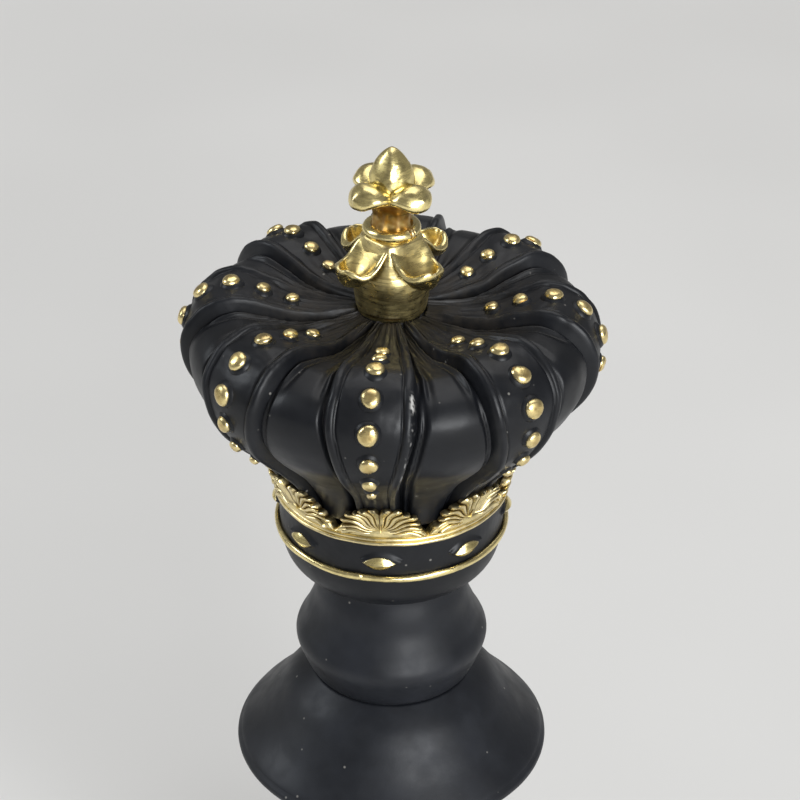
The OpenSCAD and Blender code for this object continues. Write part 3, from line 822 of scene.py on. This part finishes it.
def add_ledge(shape, azimuth):
    """The smooth sloping ledge that a fan stands on."""
    along = np.linspace(-1, 1, 49)[:, None]
    r = np.array([-1.2, 0.5, 1.15, 1.4, 1.2, 0.4, -1.4])
    z = np.array([-0.35, -0.35, -0.1, 0.6, 1.5, 2.3, 2.3])
    fade = np.clip((1 - np.abs(along)) * 6, 0.05, 1)
    turn = along * (CREST_HALF + 1.2) / BAND_R
    shape.rings(around(BAND_R + 0.4 + r, azimuth + turn, BAND_TOP + 0.35 + z * fade))


# ---------------------------------------------------------------- finial

LEAF_AZIMUTHS = [math.radians(a) for a in (-45, 45, 135, 225)]
LEAF_ROWS = 48


def leaf_section(w, z, middle, hang, wide, tall, lip):
    """The closed section of a leaf at each distance along it: distance across, and height."""
    t = np.linspace(-1, 1, 17)
    arc = np.radians(np.linspace(lip, -75, 11))
    brow = math.sin(arc[0]) * tall
    face_x = (w - (1 - math.cos(arc[0])) * wide) * t
    face_z = z + brow + (middle - brow) * (1 - np.abs(t) ** 2.2)
    rim_x, rim_z = w - wide + wide * np.cos(arc), z + tall * np.sin(arc)
    below_x = (w - 0.74 * wide) * t[::-1]
    below_z = z - 0.966 * tall - hang * (1 - t ** 2) ** 0.7
    x = np.hstack([face_x[:, 1:-1], rim_x, below_x[:, 1:-1], -rim_x[:, ::-1]])
    return x, np.hstack([face_z[:, 1:-1], rim_z, below_z[:, 1:-1], rim_z[:, ::-1]])


def leaf(along, half, edge_z, top, under, bead, lip, azimuth, seed):
    """One fat leaf that runs out from the middle. Against the distance along it: its half-width, the height
    of its edges, how far its middle stands over them on top and hangs under them below, and the radius of
    its rolled rim. lip is the angle, in degrees, at which the rim turns into the upper face."""
    even = np.linspace(0, 1, LEAF_ROWS)[:, None]
    a = along[0] + (along[-1] - along[0]) * np.sin(even * math.pi / 2) ** 0.9

    def along_leaf(values):
        fine = smooth_curve(list(zip(along, values)), 12)
        return np.interp(a, fine[:, 0], fine[:, 1])

    rounding = np.clip((a - a[-1] + half[-1]) / half[-1], 0, 1)
    w = np.maximum(along_leaf(half) * np.sqrt(1 - rounding ** 2), 0.12)
    thick = along_leaf(bead)
    end = np.clip((a - a[-1] + bead[-1]) / bead[-1], 0, 1)
    tall = thick * np.sqrt(np.clip(1 - end ** 2, 0.02, 1))
    x, z = leaf_section(w, along_leaf(edge_z), along_leaf(top), along_leaf(under),
                        np.minimum(thick, 0.45 * w), tall, lip)
    points = np.stack([math.sin(azimuth) * a + math.cos(azimuth) * x,
                       -math.cos(azimuth) * a + math.sin(azimuth) * x, z], -1)
    points = points + 0.13 * waves(points, 5, seed)[..., None] * np.array([0.6, 0.6, 0.8])
    hollow = np.zeros(x.shape)
    # The middle of each bowl goes darker amber: partly the brown wash, partly painted shade.
    hollow[:, :15] = (1 - np.abs(np.linspace(-1, 1, 17)[1:-1]) ** 3) * np.sin(math.pi * even)
    return points, hollow


def make_lower_leaves():
    """Four spoon-shaped leaves with rolled rims, dipping and then curling up at their tips."""
    along = [3.4, 5.3, 7.0, 9.0, 11.0, 13.0, 14.6, 15.7, 16.1]
    half = [4.0, 5.2, 5.6, 5.7, 5.7, 5.6, 5.5, 5.4, 5.3]
    edge_z = SEAT + np.array([19.6, 19.0, 17.5, 15.4, 14.3, 14.1, 14.6, 15.0, 15.1])
    top = [1.0, 0.7, -0.2, -1.3, -2.1, -2.2, -0.9, 0.9, 0.5]
    under = [0.3, 0.6, 1.2, 1.8, 2.3, 2.4, 2.0, 1.2, 0.4]
    bead = [0.6, 0.7, 0.8, 0.85, 0.95, 1.25, 1.6, 1.9, 2.0]
    shape = Shape()
    for i, azimuth in enumerate(LEAF_AZIMUTHS):
        rings, hollow = leaf(along, half, edge_z, top, under, bead, 115, azimuth, 60 + i)
        shape.rings(rings, amber=0.5 * hollow)
    piece("finial_lower_leaf_ring", shape, "finial", GOLD_BRIGHT, "finial_lower_leaves")


def column():
    """The waisted, fluted column under the upper leaves."""
    profile = smooth_curve([(5.6, 22.0), (5.0, 24.2), (4.9, 26.4), (5.5, 28.4), (6.9, 30.0), (7.9, 31.3),
                            (4.6, 32.6)], 6, (0, SEAT))
    a = circle(144)
    flutes = 1 - 0.09 * np.abs(np.cos(2 * a)) ** 5 - 0.045 * np.abs(np.cos(4 * a + 0.4)) ** 3
    rings = around(profile[:, :1] * flutes, a, profile[:, 1:])
    rings[..., :2] *= 1 + 0.035 * waves(rings, 3.2, 44)[..., None]
    return rings


def make_upper_leaves():
    """Four fat drooping leaves on their column."""
    along = [1.2, 3.2, 5.2, 7.2, 9.0, 10.4, 11.4, 11.9]
    half = [3.6, 4.9, 5.3, 5.2, 4.9, 4.7, 4.6, 4.5]
    edge_z = SEAT + np.array([31.2, 31.6, 32.1, 32.5, 32.3, 31.8, 31.5, 31.5])
    top = [1.6, 2.2, 2.8, 3.2, 3.2, 2.8, 2.2, 1.5]
    under = [0.1, 0.1, 0.2, 0.2, 0.2, 0.2, 0.2, 0.1]
    bead = [1.3] * len(along)
    shape = Shape()
    for i, azimuth in enumerate(LEAF_AZIMUTHS):
        shape.rings(leaf(along, half, edge_z, top, under, bead, 48, azimuth, 80 + i)[0])
    rings = column()
    shape.rings(rings, amber=np.clip(0.92 + 0.30 * waves(rings, 2.4, 45), 0, 1))
    piece("finial_upper_leaf_ring", shape, "finial", GOLD_BRIGHT, "finial_upper_leaves")


def make_bud():
    """The pointed bud, four-sided with soft edges."""
    profile = smooth_curve([(3.6, -12.2), (4.8, -10.6), (5.3, -8.9), (5.1, -6.9), (4.2, -4.4), (2.8, -2.1),
                            (1.5, -0.7), (0.45, -0.04)], 7, (0, TIP))
    a = circle(96)
    edge = 0.965 + 0.085 * np.abs(np.cos(2 * a)) ** 5
    rings = around(profile[:, :1] * edge, a, profile[:, 1:])
    rings[..., :2] *= 1 + 0.02 * waves(rings, 4, 31)[..., None]
    piece("finial_bud_point", Shape().rings(rings), "finial", GOLD_BRIGHT, "finial_bud")


def make_finial_ring():
    """The collar ring, with the hairline crack that it has on one side."""
    mid = (low("finial_ring")[2] + high("finial_ring")[2]) / 2 - 0.5
    tube = 1.5
    azimuth = circle(480)[:, None]
    crack = bell(azimuth, math.radians(48), 0.035) + 0.3 * bell(azimuth, math.radians(57), 0.02)
    a = circle(26)
    thick = tube - 0.50 * crack + 0.05 * np.sin(3 * azimuth + a)
    r = high("finial_ring")[0] - tube + 0.1 + 0.06 * np.sin(2 * azimuth)
    z = mid + 0.16 * np.sin(azimuth + 0.6)
    rings = around(r + thick * np.cos(a), azimuth, z + 1.02 * thick * np.sin(a))
    amber = np.clip(crack, 0, 1) + 0 * a
    shape = Shape().add(rings, grid_faces(*amber.shape, wrap_rows=True), amber=amber)
    piece("finial_collar_ring", shape, "finial", GOLD_BRIGHT, "finial_ring")


def make_finial_cup():
    """The brushed cup that screws down on the crown, hollow for its threaded insert."""
    insert_r, insert_top = high("finial_insert")[0], high("finial_insert")[2]
    outside = smooth_curve([(8.35, 0.35), (8.85, 2.5), (9.3, 6), (9.5, 10), (9.15, 13), (8.75, 16),
                            (8.05, 18.4), (7.2, 20.2), (5.6, 21.0)], 6, (0, SEAT))
    inside = [(0.4, SEAT + 20.8), (0.4, insert_top + 1), (insert_r, insert_top), (insert_r, SEAT + 0.02),
              (7.9, SEAT + 0.02)]
    shape = turned([*outside, *inside], 200)
    p = shape.points
    azimuth = np.arctan2(p[:, 0], -p[:, 1])
    on_face = (np.hypot(p[:, 0], p[:, 1]) > 5.8) & (p[:, 2] > SEAT + 0.1)
    uneven = 0.10 * np.sin(3 * azimuth + 0.7) + 0.07 * np.sin(7 * azimuth + 2) + 0.10 * waves(p, 6, 13)
    p[:, :2] *= (1 + on_face * uneven / 9)[:, None]
    high_up = smoothstep(SEAT + 11, SEAT + 15, p[:, 2])
    p[:, :2] *= (1 - on_face * 0.17 * high_up * np.abs(np.sin(2 * azimuth)) ** 1.5)[:, None]
    foot = on_face & (p[:, 2] < SEAT + 1.5)
    p[:, 2] += foot * 0.22 * (1 + np.sin(3 * azimuth + 1.9) + 0.5 * np.sin(8 * azimuth))
    piece("finial_cup_brushed", shape, "finial", GOLD_CUP, "finial_cup")


# ---------------------------------------------------------------- turned castings

SPIGOT_R = 12.0
SPIGOT = 4.0


def bore(top_r, top, spigot, base_r, base, socket):
    """Outline inside a casting, from the top down: its spigot, the rod's hole and the socket in its base.
    A negative spigot is a recess, and a negative socket sticks out."""
    return [(top_r, top), (top_r, top + spigot), (ROD_HOLE, top + spigot), (ROD_HOLE, base + socket),
            (base_r, base + socket), (base_r, base)]


def cup_outline():
    """The bowl that carries the band, with a wall behind it."""
    floor, top, wall = CUP_LOW + SPIGOT, BAND_TOP - 1, BAND_R - 4
    bowl = smooth_curve([(20, 0), (23.6, 1.9), (26.6, 5.2), (28, 9), (BAND_R - 0.1, BAND_LOW - CUP_LOW)], 8,
                        (0, CUP_LOW))
    inside = [(BAND_R - 1.6, BAND_LOW + 0.1), (BAND_R - 1.6, top), (wall, top), (wall, BAND_LOW),
              (SPIGOT_R + 4, floor + 3), (ROD_HOLE, floor + 3), (ROD_HOLE, floor + 0.2),
              (SPIGOT_R + 0.1, floor + 0.1), (SPIGOT_R + 0.1, CUP_LOW)]
    return [*bowl, *inside], [0.5, *[0] * (len(bowl) - 1), *[0.2] * len(inside)]


def knob_outline():
    """The round knob under the cup."""
    r, base = high("knob")[0], low("knob")[2]
    ball = smooth_curve([(-4.6, 0), (-3.2, 1.8), (-1.4, 6), (0, 11.2), (-2.3, 16.2), (-4.4, 21.2),
                         (-5.5, 25.7), (-6.8, 29.7), (-7.1, CUP_LOW - base)], 8, (r, base))
    inside = bore(SPIGOT_R, CUP_LOW, SPIGOT, SPIGOT_R + 0.1, base, SPIGOT)
    return [*ball, *inside], [0.4, *[0] * (len(ball) - 2), 0.4, *[0.2] * len(inside)]


def skirt_outline():
    """The flared skirt, with a rounded rim."""
    r, base, top = high("skirt")[0], low("skirt")[2], low("knob")[2]
    rim = base + 9
    flare = smooth_curve([(0.975 * r, rim + 0.9), (0.951 * r, rim + 2.2), (0.843 * r, rim + 6.9),
                          (0.742 * r, rim + 12.2), (0.637 * r, rim + 17.9), (0.508 * r, top)], 7)
    curve = [*arc_points(r - 1.5, rim - 0.9, 1.5, -80, 45), *flare]
    inside = bore(SPIGOT_R, top, SPIGOT, SPIGOT_R - 0.9, base, SPIGOT)
    under = [(ROD_R + 14, base), (0.62 * r, base + 2.6)]
    return [*under, *curve, *inside], [0.5, 2, *[0] * (len(curve) - 1), 0.4, *[0.2] * len(inside)]


def collar_outline():
    """Two rounded rings round the top of the stem."""
    base, top = low("stem_collar")[2], high("stem_collar")[2]
    r = high("stem_collar")[0] - 5.6
    outside = [(r + 2, base), *arc_points(r + 3.4, base + 2.4, 2.2, -80, 80), (r + 2.6, base + 5),
               (r + 2.6, base + 6), *arc_points(r + 3, base + 7.4, 1.4, -80, 80), (r + 2, top)]
    return [*outside, (11.1, top), (11.1, base)], 0


def stem_outline():
    """The waisted stem, on a rounded foot."""
    base, top = low("stem")[2] + 3.9, high("stem")[2] - SPIGOT
    tall = top - base
    foot_r = high("stem")[0] + 1.1
    neck = 14.5
    side = smooth_curve([(foot_r - 3, base + 5.4), (neck + 4.6, base + tall * 0.25),
                         (neck + 1.2, base + tall * 0.5), (neck, base + tall * 0.75), (neck + 1.6, top)], 10)
    outside = [(foot_r, base), *arc_points(foot_r - 1.5, base + 2.6, 2.4, -80, 80), *side]
    return [*outside, *bore(11, top, SPIGOT, 12, base, -3.9)], 0


def moulding_outline():
    """The moulding between stem and plinth."""
    base, top = low("base_moulding")[2] + 2, high("base_moulding")[2]
    r = high("base_plinth")[0] - 9
    side = smooth_curve([(r - 6, base + 7.2), (r - 10, base + 8.2), (r - 14, base + 11.5),
                         (r - 16.4, top - 2), (r - 17, top)], 9)
    outside = [(r - 1.2, base), (r - 1.2, base + 1), *arc_points(r - 4, base + 4, 3.2, -70, 90, 16), *side]
    return [*outside, *bore(12.1, top, -SPIGOT, 19.9, base, -2)], 0


def plinth_outline():
    """The stepped plinth, hollow below its web for the ballast."""
    base, top = low("base_plinth")[2], high("base_plinth")[2]
    r = high("base_plinth")[0] - 0.08
    sill = base + 4
    outside = [(r - 1, base), (r, base + 1), (r, base + 8), *arc_points(r - 3, base + 8, 3, 5, 90),
               (r - 5, base + 11), (r - 5, base + 13), *arc_points(r - 5.5, base + 16.5, 3.4, -75, 75, 16),
               (r - 6.5, base + 20), (r - 6.8, base + 21.5), (r - 7.8, base + 24), (r - 9, top)]
    return [*outside, *bore(20, top, -2, 34.1, sill, 19), (r - 3.9, sill), (r - 3.9, base)], 0


CASTINGS = [
    ("crown_cup_bowl", "crown_cup", cup_outline, BLACK_CROWN),
    ("neck_knob_ball", "knob", knob_outline, BLACK_TURNED),
    ("skirt_flare", "skirt", skirt_outline, BLACK_TURNED),
    ("stem_collar_rings", "stem_collar", collar_outline, BLACK_TURNED),
    ("stem_shaft", "stem", stem_outline, BLACK_TURNED),
    ("base_moulding_ring", "base_moulding", moulding_outline, BLACK_TURNED),
    ("base_plinth_ring", "base_plinth", plinth_outline, BLACK_TURNED)]


def make_castings():
    """The turned castings, with their corners eased and their faces very slightly uneven."""
    for seed, (name, node, outline, material) in enumerate(CASTINGS, 3):
        shape = turned(rounded(*outline()), 192)
        p = shape.points
        r = np.hypot(p[:, 0], p[:, 1])
        outside = r > 0.6 * r.max()
        p[:, :2] *= (1 + outside * 0.05 * waves(p, 26, seed) / r.max())[:, None]
        piece(name, shape, "figure", material, node, sharp=50)


# ---------------------------------------------------------------- hidden and small parts

FINIAL_LEAD = 4.0
FINIAL_STARTS = 3
THREAD_DEPTH = 0.4


def thread_rings(pitch, starts, bottom, top):
    """Rings of a threaded stretch of the rod, whose radius follows one or more helices."""
    z = np.linspace(bottom, top, int((top - bottom) / pitch * 14) + 1)[:, None]
    a = circle(48)
    phase = (z / pitch - starts * a / (2 * math.pi)) % 1
    tooth = np.clip(1.35 - 2.7 * np.abs(phase - 0.5), 0, 1)
    run_out = np.clip(np.minimum(z - bottom, top - z) / (0.8 * pitch), 0, 1)
    return around(ROD_R - THREAD_DEPTH + THREAD_DEPTH * tooth * run_out, a, z)


def make_tie_rod():
    """The steel tie rod, with a nut's thread at its foot and the finial's quick three-start thread on top."""
    bottom, top = low("tie_rod")[2], high("tie_rod")[2]
    foot = thread_rings(1.0, 1, bottom, bottom + 18)
    head = thread_rings(FINIAL_LEAD / FINIAL_STARTS, FINIAL_STARTS, top - 24, top)
    shaft = [around(ROD_R - 0.05, circle(48), z) for z in (bottom + 18.4, top - 24.4)]
    shape = Shape().rings(np.concatenate([foot, shaft, head]))
    piece("tie_rod_threaded", shape, "figure", STEEL, "tie_rod", sharp=50)


def make_felt():
    """The felt ring, its rim a little fuzzy and soft."""
    inner, outer, top = high("access_plug")[0] + 1.0, high("felt_pad")[0] - 0.1, high("felt_pad")[2]
    shape = turned(rounded([(inner, 0), (outer, 0), (outer, top), (inner, top)], 0.35), 240)
    p = shape.points
    p[:, :2] *= (1 + 0.0012 * waves(p, 2.0, 17))[:, None]
    p[:, 2] = np.clip(p[:, 2] + 0.04 * waves(p, 3.0, 19) * (p[:, 2] > 0.2), 0, top)
    piece("felt_pad_ring", shape, "figure", FELT, "felt_pad", sharp=60)


for k in range(1, ARCHES + 1):
    make_arch(k)
    make_studs(k)
    make_crest(k)
make_cap()
make_band()
make_gems()
make_lower_rim()
make_upper_rim()
make_lower_leaves()
make_upper_leaves()
make_bud()
make_finial_ring()
make_finial_cup()
make_castings()
make_tie_rod()
make_felt()

# CAD pieces that keep their own shape take a finished material
KEPT = {"base_plate": BLACK_TURNED, "base_screws": STEEL, "ballast_weight": STEEL, "rod_nut": STEEL,
        "rod_washer": STEEL, "lock_washer": STEEL, "finial_insert": BRASS, "finial_gasket": RUBBER,
        "plug_seal": RUBBER, "access_plug": BLACK_MOULDED}
for node, material in KEPT.items():
    mesh = frame["nodes"][node].data
    mesh.materials.clear()
    mesh.materials.append(material)


# ---------------------------------------------------------------- camera, floor and light

CAMERA_AZIMUTH = math.radians(5.13)
CAMERA_AWAY = 518.6
CAMERA_UP = 546.2
CAMERA_ROLL = math.radians(0.158)
AIM = (2.07, 230.73)     # sideways and height of the point in the middle of the view
LENS_MM = 109.87
SENSOR_MM = 36.0
FLOOR_HALF = 6.0         # in metres, as are the places and sizes of the lights
LIT_SPOT = (0, 0, 0.23)


def make_camera():
    """The camera, seen from which the front of the crown fills the view."""
    turn = Matrix.Rotation(CAMERA_AZIMUTH, 3, "Z")
    spot = turn @ Vector((0, -CAMERA_AWAY, CAMERA_UP)) * MM
    target = turn @ Vector((AIM[0], 0, AIM[1])) * MM
    data = bpy.data.cameras.new("camera")
    data.sensor_width, data.lens = SENSOR_MM, LENS_MM
    data.clip_start, data.clip_end = 0.05, 50
    camera = bpy.data.objects.new("camera", data)
    camera.location = spot
    camera.rotation_mode = "QUATERNION"
    level = (target - spot).to_track_quat("-Z", "Y")
    camera.rotation_quaternion = level @ Matrix.Rotation(CAMERA_ROLL, 3, "Z").to_quaternion()
    bpy.context.scene.collection.objects.link(camera)
    bpy.context.scene.camera = camera


def make_floor():
    """A plain pale floor."""
    mesh = bpy.data.meshes.new("floor")
    corners = [(x * FLOOR_HALF, y * FLOOR_HALF, 0) for x, y in ((-1, -1), (1, -1), (1, 1), (-1, 1))]
    mesh.from_pydata(corners, [], [(0, 1, 2, 3)])
    floor = bpy.data.objects.new("floor", mesh)
    bpy.context.scene.collection.objects.link(floor)
    n = Nodes("floor_paint")
    color = n.mix(n.ramp(n.noise(3.0, 2), 0.3, 0.7), (0.69, 0.682, 0.665), (0.73, 0.722, 0.705))
    mesh.materials.append(n.finish(color, 0.9, n.bump(n.noise(300, 2), 0.02, 0.3)))


def area_light(name, spot, target, size, power, color):
    data = bpy.data.lights.new(name, "AREA")
    data.shape = "RECTANGLE"
    data.size, data.size_y = size
    data.energy = power
    data.color = color
    light = bpy.data.objects.new(name, data)
    light.location = spot
    light.rotation_mode = "QUATERNION"
    light.rotation_quaternion = (Vector(target) - Vector(spot)).to_track_quat("-Z", "Y")
    bpy.context.scene.collection.objects.link(light)


def make_lights():
    """A wide window at the front right, a weak wall at the left, a soft light above and a dim room."""
    area_light("key_window", (1.35, -2.1, 1.15), LIT_SPOT, (1.7, 1.3), 76, (0.96, 0.98, 1.0))
    area_light("left_wall", (-2.5, 0.1, 1.7), LIT_SPOT, (0.9, 1.3), 24, (0.90, 0.95, 1.0))
    area_light("top_soft", (0.2, 0.9, 2.6), (0, 0.3, 0), (2.2, 2.2), 30, (1.0, 0.99, 0.98))
    world = bpy.data.worlds.new("studio")
    world.use_nodes = True
    background = world.node_tree.nodes["Background"]
    background.inputs["Color"].default_value = (0.88, 0.87, 0.86, 1)
    background.inputs["Strength"].default_value = 0.25
    bpy.context.scene.world = world
    bpy.context.scene.view_settings.view_transform = "Standard"


make_camera()
make_floor()
make_lights()
